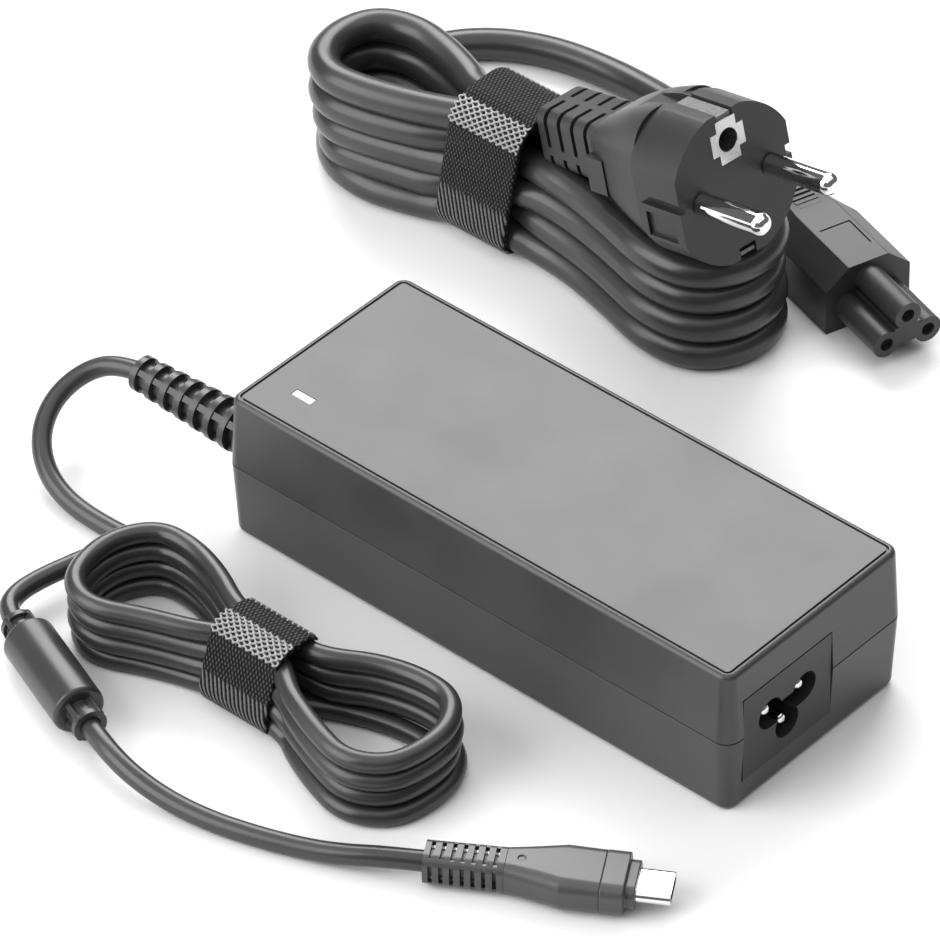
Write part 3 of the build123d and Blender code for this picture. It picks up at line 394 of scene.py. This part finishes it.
DC_TAIL = [
    (-0.0360, -0.0530, 0.0070), (-0.0420, -0.0492, 0.0064), (-0.0500, -0.0448, 0.0064),
    (-0.0600, -0.0424, 0.0064), (-0.0680, -0.0440, 0.0064), (-0.0730, -0.0506, 0.0063),
    (-0.0757, -0.0590, 0.0061), (-0.0779, -0.0662, 0.0057), (-0.0786, -0.0722, 0.0054),
]
DC_PLUG_START = Vector((0.0324, -0.0760, 0.00425))
DC_PLUG_DIRECTION = Vector((0.851, 0.525, 0)).normalized()
DC_PLUG_RUN_IN = 0.0076
DC_END = [
    (-0.0266, -0.0946, 0.0042), (-0.0176, -0.0944, 0.0028), (-0.0080, -0.0929, 0.0021),
    (0.0020, -0.0902, 0.0021), (0.0116, -0.0868, 0.0023), (0.0188, -0.0839, 0.0032),
]


def dc_slot(side, column, layer):
    """Where the cord passes one mouth of its tie."""
    return DC_TIE_MOUTHS[side], DC_TIE_COLUMNS[column][layer], DC_TIE_LAYERS[layer]


def dc_cord_points():
    """From the strain relief: round both ends of the hank by turns, then through the ferrite to the plug."""
    points = list(DC_LEAD)
    points.append(dc_slot("left", "far", 0))
    for side, layer, inset, slot_in, slot_out in DC_WRAPS:
        points.append(dc_slot(side, *slot_in))
        points += end_turn(DC_ARCS[side], DC_LAYERS[layer], DC_LAYERS[layer], inset)
        points.append(dc_slot(side, *slot_out))
    points += DC_CROSSING
    points.append(dc_slot("left", "far", 1))
    points += DC_TAIL
    points.append(tuple(FERRITE_START - FERRITE_DIRECTION * FERRITE_RUN_IN))
    points += [tuple(FERRITE_START + FERRITE_DIRECTION * FERRITE_TOTAL * share) for share in FERRITE_SHARES]
    points.append(tuple(FERRITE_END + FERRITE_DIRECTION * FERRITE_RUN_OUT))
    points += DC_END
    points.append(tuple(DC_PLUG_START - DC_PLUG_DIRECTION * DC_PLUG_RUN_IN))
    points.append(tuple(DC_PLUG_START))
    return points


MAINS_DIAMETER = 0.007
MAINS_ARCS = {
    "left": [
        (-0.1010, 0.0756), (-0.1080, 0.0732), (-0.1165, 0.0710), (-0.1255, 0.0704), (-0.1322, 0.0754),
        (-0.1342, 0.0838), (-0.1318, 0.0922), (-0.1236, 0.0958), (-0.1140, 0.0944), (-0.1060, 0.0918),
        (-0.1010, 0.0892),
    ],
    "right": [
        (-0.0735, 0.0876), (-0.0625, 0.0922), (-0.0505, 0.0962), (-0.0378, 0.0990), (-0.0272, 0.0974),
        (-0.0212, 0.0892), (-0.0222, 0.0792), (-0.0290, 0.0722), (-0.0392, 0.0716), (-0.0500, 0.0748),
        (-0.0620, 0.0778), (-0.0730, 0.0790),
    ],
}
# (y, z) of the cord under the tie, from the bottom layer up
MAINS_NEAR = [(0.0772, 0.0056), (0.0806, 0.0112), (0.0778, 0.0169), (0.0810, 0.0226), (0.0796, 0.0286)]
MAINS_FAR = [(0.0871, 0.0054), (0.0871, 0.0128), (0.0871, 0.0202), (0.0871, 0.0276)]
MAINS_LEFT_NEAR_Z = [0.0035, 0.0096, 0.0158, 0.0219, 0.0282]
MAINS_LEFT_FAR_Z = [0.0035, 0.0105, 0.0175, 0.0258]
MAINS_RIGHT_Z = [0.0035, 0.0105, 0.0175, 0.0245]
MAINS_TIE_LEAN = 0.13         # x gained for each unit of height
MAINS_MOUTHS = {"left": -0.0950, "right": -0.0830}
MAINS_LEFT_INSETS = [0.0, 0.0020, 0.0008, 0.0, 0.0]
MAINS_RIGHT_INSETS = [0.0, 0.0, 0.0006, 0.0]
PLUG_YAW = math.radians(-6.0)
PLUG_PITCH = math.radians(14.5)
PLUG_AXIS = Vector((math.cos(PLUG_PITCH) * math.cos(PLUG_YAW), math.cos(PLUG_PITCH) * math.sin(PLUG_YAW),
                    math.sin(PLUG_PITCH)))
PLUG_FACE = Vector((-0.0228, 0.0798, 0.0460))
PLUG_TOTAL = 0.052            # from the face to the end of the boot
PLUG_RUN_OUT = 0.0040
PLUG_END = PLUG_FACE - PLUG_AXIS * PLUG_TOTAL
MAINS_LEAD = [
    tuple(PLUG_END),
    tuple(PLUG_END - PLUG_AXIS * PLUG_RUN_OUT),
    (-0.0825, 0.0842, 0.0300), (-0.0890, 0.0810, 0.0286),
]
CONNECTOR_TURN = math.radians(18.0)
CONNECTOR_AXIS = Vector((math.cos(CONNECTOR_TURN), -math.sin(CONNECTOR_TURN), 0))
CONNECTOR_FACE = Vector((-0.0110, 0.1084, 0.0))
CONNECTOR_BOOT_END = 0.052
CONNECTOR_RUN_IN = 0.0145
CONNECTOR_CENTRE_Z = 0.0077
MAINS_TAIL_END = CONNECTOR_FACE - CONNECTOR_AXIS * CONNECTOR_BOOT_END + Vector((0, 0, CONNECTOR_CENTRE_Z))
MAINS_BOTTOM_NEAR = [
    (-0.1010, 0.0756), (-0.1080, 0.0732), (-0.1165, 0.0712), (-0.1260, 0.0726), (-0.1330, 0.0784),
]
MAINS_TAIL = [
    (-0.1360, 0.0840, 0.0035), (-0.1410, 0.0974, 0.0035), (-0.1398, 0.1118, 0.0035),
    (-0.1318, 0.1242, 0.0035), (-0.1190, 0.1316, 0.0035), (-0.1044, 0.1342, 0.0035),
    (-0.0892, 0.1328, 0.0050),
    tuple(MAINS_TAIL_END - CONNECTOR_AXIS * CONNECTOR_RUN_IN),
    tuple(MAINS_TAIL_END),
]


def mains_slot(side, place):
    """Where the cord passes one mouth of the leaning tie, at (y, z)."""
    return MAINS_MOUTHS[side] + MAINS_TIE_LEAN * place[1], *place


def mains_cord_points():
    """From the plug: down through the tie, four turns from the top layer to the bottom, then the tail."""
    points = list(MAINS_LEAD)
    for layer in (3, 2, 1, 0):
        near, far = MAINS_NEAR[layer + 1], MAINS_FAR[layer]
        points.append(mains_slot("left", near))
        points += end_turn(MAINS_ARCS["left"], MAINS_LEFT_NEAR_Z[layer + 1], MAINS_LEFT_FAR_Z[layer],
                           MAINS_LEFT_INSETS[layer + 1])
        points.append(mains_slot("left", far))
        points.append(mains_slot("right", far))
        points += end_turn(MAINS_ARCS["right"], MAINS_RIGHT_Z[layer], MAINS_RIGHT_Z[layer],
                           MAINS_RIGHT_INSETS[layer])
        points.append(mains_slot("right", MAINS_NEAR[layer]))
    points.append(mains_slot("left", MAINS_NEAR[0]))
    points += [(x, y, MAINS_LEFT_NEAR_Z[0]) for x, y in MAINS_BOTTOM_NEAR]
    points += MAINS_TAIL
    return points


dc_cord = cord_curve("dc_cord", dc_cord_points(), DC_DIAMETER)
paint(dc_cord, "cord")
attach(dc_cord, "adapter")
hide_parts("dc_cord_lead", "dc_cord_hank", "dc_cord_tail", "dc_cord_through", "dc_cord_end")

mains_cord = cord_curve("mains_cord", mains_cord_points(), MAINS_DIAMETER)
paint(mains_cord, "cord")
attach(mains_cord, "mains_lead")
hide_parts("mains_cord_lead", "mains_cord_hank", "mains_cord_tail")


# ---------------------------------------------------------------- hook-and-loop ties
class Band:
    """The closed path of a strap round its gathered turns, starting along the top from the far side."""

    def __init__(self, section, corner, offset, lean):
        """`section` is the tie's inner outline (y, z), anticlockwise from the near corner at the bottom."""
        outline = [Vector(point) for point in section[2:] + section[:2]]
        count = len(outline)
        self.lean = lean
        self.radius = corner + offset
        self.sides = [(outline[(i + 1) % count] - outline[i]).normalized() for i in range(count)]
        self.normals = [Vector((side.y, -side.x)) for side in self.sides]
        self.centres = []
        for index in range(count):
            before, after = self.normals[index - 1], self.normals[index]
            self.centres.append(outline[index] - (before + after) * corner / (1 + before.dot(after)))
        self.parts = []
        for index in range(count):
            turned = self.normals[index].angle(self.normals[(index + 1) % count])
            self.parts.append((self.centres[(index + 1) % count] - self.centres[index]).length)
            self.parts.append(turned * self.radius)
        self.length = sum(self.parts)

    def at(self, s):
        """Point and outward normal (y, z) at distance s along the path."""
        s = s % self.length
        index = 0
        while s > self.parts[index] + 1e-12:
            s -= self.parts[index]
            index += 1
        side = index // 2
        normal = self.normals[side]
        if index % 2 == 0:
            return self.centres[side] + normal * self.radius + self.sides[side] * s, normal
        turn = s / self.radius
        normal = Vector((normal.x * math.cos(turn) - normal.y * math.sin(turn),
                         normal.x * math.sin(turn) + normal.y * math.cos(turn)))
        return self.centres[(side + 1) % len(self.centres)] + normal * self.radius, normal

    def place(self, x, s, rise):
        """The point at x across the strap, s along it and `rise` outside it, with the tie's lean."""
        point, normal = self.at(s)
        y, z = point + normal * rise
        return x + self.lean * z, y, z


LOOP_PITCH_X, LOOP_PITCH_S = 0.00085, 0.00095
LOOP_HEIGHT = 0.72
RIB_PITCH = 0.0011
RIB_SLANT = 0.35
EDGE_ROUND = 0.0005
EDGE_DROP = 0.00028
INNER_EDGE_DROP = 0.0002
FUZZ_PITCH = 2600             # per metre
INNER_FACE_WEAVE = 0.3
CLOTH_SHARP_ANGLE = 60.0


def weave_height(s, x, ribs):
    """0 to 1: brick-laid loops of yarn, drawn out into slanting ribs where `ribs` is 1."""
    row = s / LOOP_PITCH_S
    across = math.cos(2 * math.pi * (x / LOOP_PITCH_X + 0.5 * math.floor(row)))
    loops = 0.5 + 0.5 * across * math.sin(math.pi * (row % 1))
    slant = 0.5 + 0.5 * math.cos(2 * math.pi * (x - RIB_SLANT * s) / RIB_PITCH)
    return LOOP_HEIGHT * loops * (1 - ribs) + slant * ribs


def strap_mesh(name, band, span_x, span_s, step, amount, rib_span=(1.0, 2.0)):
    """A strap of woven nylon along part of the band, its loops drawn out into ribs over rib_span."""
    s_from, s_to = span_s
    rib_from, rib_to = rib_span
    rows = max(2, round((s_to - s_from) / step))
    columns = max(2, round((span_x[1] - span_x[0]) / step))
    closed = s_to - s_from > band.length - 1e-9
    work = bmesh.new()
    layer = work.verts.layers.float.new("weave_and_shade")
    grid = {}
    for row in range(rows + (0 if closed else 1)):
        s = s_from + (s_to - s_from) * row / rows
        ribs = min(1.0, max(0.0, (s - rib_from) / (rib_to - rib_from)))
        end_share = 0.0 if closed else min(row, rows - row) * (s_to - s_from) / rows
        for column in range(columns + 1):
            x = span_x[0] + (span_x[1] - span_x[0]) * column / columns
            edge = min(x - span_x[0], span_x[1] - x)
            if not closed:
                edge = min(edge, end_share)
            rounding = max(0.0, 1 - edge / EDGE_ROUND)
            height = weave_height(s, x, ribs)
            fuzz = noise.noise(Vector((x * FUZZ_PITCH, s * FUZZ_PITCH, 0.0)))
            lift = amount * (height - 0.5) * (1 - rounding) + amount * 0.5 * fuzz
            outer = STRAP_THICKNESS / 2 + lift - EDGE_DROP * rounding ** 2
            inner = -STRAP_THICKNESS / 2 + INNER_EDGE_DROP * rounding ** 2
            for face, reach in ((0, outer), (1, inner)):
                vert = work.verts.new(band.place(x, s, reach))
                # The height is kept for the colour: painted shade low in the weave and painted highlight on
                # the loop tops; the inner face gets one flat value.
                vert[layer] = height if face == 0 else INNER_FACE_WEAVE
                grid[(row, column, face)] = vert
    total = rows if closed else rows + 1
    quads = []
    for row in range(rows):
        after = (row + 1) % total
        for column in range(columns):
            for face in (0, 1):
                quads.append([(row, column, face), (row, column + 1, face), (after, column + 1, face),
                              (after, column, face)])
        for column in (0, columns):
            quads.append([(row, column, 0), (after, column, 0), (after, column, 1), (row, column, 1)])
    for row in () if closed else (0, rows):
        for column in range(columns):
            quads.append([(row, column, 0), (row, column + 1, 0), (row, column + 1, 1), (row, column, 1)])
    for quad in quads:
        work.faces.new([grid[key] for key in quad])
    bmesh.ops.recalc_face_normals(work, faces=work.faces)
    mesh = bpy.data.meshes.new(name)
    work.to_mesh(mesh)
    work.free()
    smooth(mesh, CLOTH_SHARP_ANGLE)
    return mesh


def strand_curves(name, radius, strands, body):
    """Round strands of nylon, each a list of points."""
    data = bpy.data.curves.new(name, "CURVE")
    data.dimensions = "3D"
    data.bevel_depth = radius
    data.bevel_resolution = 2
    data.use_fill_caps = True
    for points in strands:
        spline = data.splines.new("POLY")
        spline.points.add(len(points) - 1)
        for place, point in zip(spline.points, points):
            place.co = (*point, 1)
    obj = bpy.data.objects.new(name, data)
    scene.collection.objects.link(obj)
    paint(obj, "hooks")
    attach(obj, body)
    return obj


HOOK_RADIUS = 0.00023
HOOK_PITCH = 0.00088          # between strands
HOOK_WAVE = 0.0015            # length of one wave of a strand
HOOK_SWING = 0.42             # share of the pitch
HOOK_RISE = 0.8               # share of the radius
HOOK_CLEARANCE = 0.0001
HOOK_STEPS = 10               # points per wave


def hook_strands(band, span_x, s_from, s_to):
    """Wavy monofilament, each strand against its neighbours' waves, so that they meet in a lattice."""
    count = round((span_x[1] - span_x[0]) / HOOK_PITCH)
    pitch = (span_x[1] - span_x[0]) / count
    waves = round((s_to - s_from) / HOOK_WAVE)
    strands = []
    for strand in range(count):
        centre = span_x[0] + pitch * (strand + 0.5)
        points = []
        for index in range(HOOK_STEPS * waves + 1):
            share = index / (HOOK_STEPS * waves)
            angle = 2 * math.pi * waves * share
            x = centre + pitch * HOOK_SWING * math.cos(angle + math.pi * (strand % 2))
            rise = STRAP_THICKNESS / 2 + HOOK_CLEARANCE + HOOK_RADIUS * HOOK_RISE * math.cos(2 * angle)
            points.append(band.place(x, s_from + (s_to - s_from) * share, rise))
        strands.append(points)
    return strands


FRINGE_RADIUS = 0.00028
FRINGE_PITCH = 0.0014
FRINGE_MARGIN = 0.0008        # at the right edge, which the yarn's slant fills
FRINGE_REACH = 0.0018         # onto the strap
FRINGE_STEP = 0.0007
FRINGE_SLANT = 0.00025
FRINGE_DROP = 0.00006


def fringe_strands(band, span_x, s_end):
    """Cut yarn ends along the strap's end."""
    width = span_x[1] - span_x[0]
    count = round(width / FRINGE_PITCH)
    strands = []
    for tooth in range(count):
        x = span_x[0] + (width - FRINGE_MARGIN) * (tooth + 0.5) / count
        points = []
        for index in range(4):
            s = s_end + FRINGE_REACH - FRINGE_STEP * index
            rise = STRAP_THICKNESS / 2 + HOOK_CLEARANCE - FRINGE_DROP * index * index
            points.append(band.place(x + FRINGE_SLANT * index, s, rise))
        strands.append(points)
    return strands


TIE_THICKNESS = 0.0018
STRAP_THICKNESS = 0.00085
WEAVE_STEP = 0.00024
WEAVE_DEPTH = 0.00022
INNER_STEP = 0.0005
INNER_DEPTH = 0.00008
INNER_MARGINS = (0.0003, 0.0002)
END_SHARE = 0.6               # how far down the far top corner the outer strap starts
END_GAP = 0.0030              # between the outer strap's two ends
RIBS_FROM, RIBS_TO = 0.32, 0.22   # shares of the near side, up from its foot


def make_tie(prefix, body, span_x, section, corner, lean, hooks_from, hooks_to):
    """Two layers of strap: a closed inner one, and an outer one that ends in a cut edge on top."""
    inner_band = Band(section, corner, STRAP_THICKNESS / 2, lean)
    outer_band = Band(section, corner, 1.5 * STRAP_THICKNESS, lean)
    inner_span = (span_x[0] + INNER_MARGINS[0], span_x[1] - INNER_MARGINS[1])
    start = -END_SHARE * outer_band.parts[-1]
    foot = sum(outer_band.parts[:3])
    near_side = outer_band.parts[2]
    rib_span = (foot - near_side * RIBS_FROM, foot - near_side * RIBS_TO)
    tie = prefix + "_tie_"
    inner_mesh = strap_mesh(tie + "inner", inner_band, inner_span, (0.0, inner_band.length), INNER_STEP,
                            INNER_DEPTH)
    outer_mesh = strap_mesh(tie + "outer", outer_band, span_x, (start, start + outer_band.length - END_GAP),
                            WEAVE_STEP, WEAVE_DEPTH, rib_span)
    hooks = hook_strands(outer_band, span_x, hooks_from, hooks_to)
    fringe = fringe_strands(outer_band, span_x, start)
    return [
        settle(tie + "inner", inner_mesh, "cloth", body, (prefix + "_cord_tie",)),
        settle(tie + "outer", outer_mesh, "cloth", body),
        strand_curves(tie + "hooks", HOOK_RADIUS, hooks, body),
        strand_curves(tie + "fringe", FRINGE_RADIUS, fringe, body),
    ]


DC_TIE_SPAN = (-0.0330, -0.0156)
DC_TIE_SECTION = [(-0.0684, TIE_THICKNESS), (-0.0532, TIE_THICKNESS), (-0.0534, 0.0174), (-0.0630, 0.0174)]
DC_TIE_CORNER = 0.0034
MAINS_TIE_SPAN = (-0.0986, -0.0798)
MAINS_TIE_SECTION = [(0.0734, TIE_THICKNESS), (0.0910, TIE_THICKNESS), (0.0910, 0.0344), (0.0754, 0.0344)]
MAINS_TIE_CORNER = 0.0054
dc_tie = make_tie("dc", "adapter", DC_TIE_SPAN, DC_TIE_SECTION, DC_TIE_CORNER, 0.0, 0.0028, 0.0081)
mains_tie = make_tie("mains", "mains_lead", MAINS_TIE_SPAN, MAINS_TIE_SECTION, MAINS_TIE_CORNER,
                     MAINS_TIE_LEAN, 0.0085, 0.0145)

# ---------------------------------------------------------------- mouldings and metal
COVER_EDGE = 0.00022
INLET_EDGE = 0.00025
RUBBER_EDGE = 0.0003
PLUG_EDGE = 0.0004
FINE_EDGE = 0.0001
PIN_EDGE = 0.0002

softened("top_cover", "case", COVER_EDGE)
softened("bottom_cover", "case", COVER_EDGE)
softened("led_window", "lens", FINE_EDGE)
softened("inlet_housing", "inlet", INLET_EDGE)
softened("inlet_pins", "chrome", RUBBER_EDGE, 3)
relief = softened("dc_strain_relief", "cord", RUBBER_EDGE)
ferrite_sleeve = softened("ferrite_sleeve", "cord", RUBBER_EDGE)
usb_parts = [
    softened("dc_plug_boot", "usb_plug", RUBBER_EDGE),
    softened("dc_plug_body", "usb_plug", PIN_EDGE),
    softened("dc_plug_ring", "usb_plug", INLET_EDGE),
    softened("dc_plug_shell", "chrome", FINE_EDGE),
]
plug_parts = [
    softened("mains_plug_body", "plug", PLUG_EDGE),
    softened("mains_plug_boot", "plug", RUBBER_EDGE),
    softened("mains_plug_pins", "chrome", PIN_EDGE),
    softened("mains_plug_earth_plate", "brushed", FINE_EDGE),
    # dark clip metal: painted shade for the clips' recess
    softened("mains_plug_earth_clips", "painted_shade_clip", FINE_EDGE),
]
connector_parts = [
    softened("mains_connector_body", "plug", PLUG_EDGE),
    softened("mains_connector_boot", "plug", RUBBER_EDGE),
]

# the pieces inside, and others that keep their CAD shape
CARRIED_OVER = {
    "chrome": ["dc_plug_contacts", "mains_connector_contacts"],
    "lens": ["status_led"],
    "board": ["circuit_board", "insulating_sheet"],
    "case": ["board_posts"],
    "ferrite": ["transformer_core", "choke_core", "ferrite_core"],
    "tape": ["transformer_winding"],
    "sleeve": ["bulk_capacitor", "output_capacitors"],
    "copper": ["choke_windings"],
    "component": ["x_capacitor", "y_capacitors", "fuse"],
    "chip": ["bridge_rectifier", "switching_transistor", "output_rectifier", "control_chip"],
    "aluminium": ["primary_heat_sink", "secondary_heat_sink"],
    "wire": ["ac_inner_leads", "dc_inner_leads"],
}
for key, names in CARRIED_OVER.items():
    for node in names:
        paint(nodes[node], key)


# ---------------------------------------------------------------- floor and light
FLOOR_REACH = 6.0


def make_floor():
    """A pale matt surface, wide enough for every view."""
    signs = [(-1, -1), (1, -1), (1, 1), (-1, 1)]
    mesh = bpy.data.meshes.new("floor")
    mesh.from_pydata([(FLOOR_REACH * x, FLOOR_REACH * y, 0) for x, y in signs], [], [(0, 1, 2, 3)])
    floor = bpy.data.objects.new("floor", mesh)
    material, tree_nodes, links, shader = start_material("floor", (0.86, 0.86, 0.86), 0.75)
    shader.inputs["Specular IOR Level"].default_value = 0.2
    vary_roughness(tree_nodes, links, shader, add_noise(tree_nodes, links, 8.0), 0.7, 0.8)
    mesh.materials.append(material)
    scene.collection.objects.link(floor)


LIGHTS = [
    # name, place, target, width, height, power in watts
    ("overhead", (-0.1, 0.0, 1.6), (-0.1, 0, 0), 3.0, 3.0, 34),
    ("behind", (-0.9, 1.0, 1.13), (0, 0, 0), 1.4, 0.9, 29),
    ("front_fill", (-0.6, -1.1, 0.7), (0, 0, 0), 1.2, 1.2, 22),
]
WORLD_STRENGTH = 0.15


def make_lights():
    """A wide overhead panel, one behind that the brick's top reflects, and a fill at the front left."""
    for name, place, target, width, height, power in LIGHTS:
        data = bpy.data.lights.new(name, "AREA")
        data.shape = "RECTANGLE"
        data.size = width
        data.size_y = height
        data.energy = power
        light = bpy.data.objects.new(name, data)
        light.location = place
        light.rotation_euler = (Vector(target) - Vector(place)).to_track_quat("-Z", "Y").to_euler()
        scene.collection.objects.link(light)
    world = bpy.data.worlds.new("studio")
    scene.world = world
    world.use_nodes = True
    background = world.node_tree.nodes["Background"]
    background.inputs["Color"].default_value = (1, 1, 1, 1)
    background.inputs["Strength"].default_value = WORLD_STRENGTH


make_floor()
make_lights()
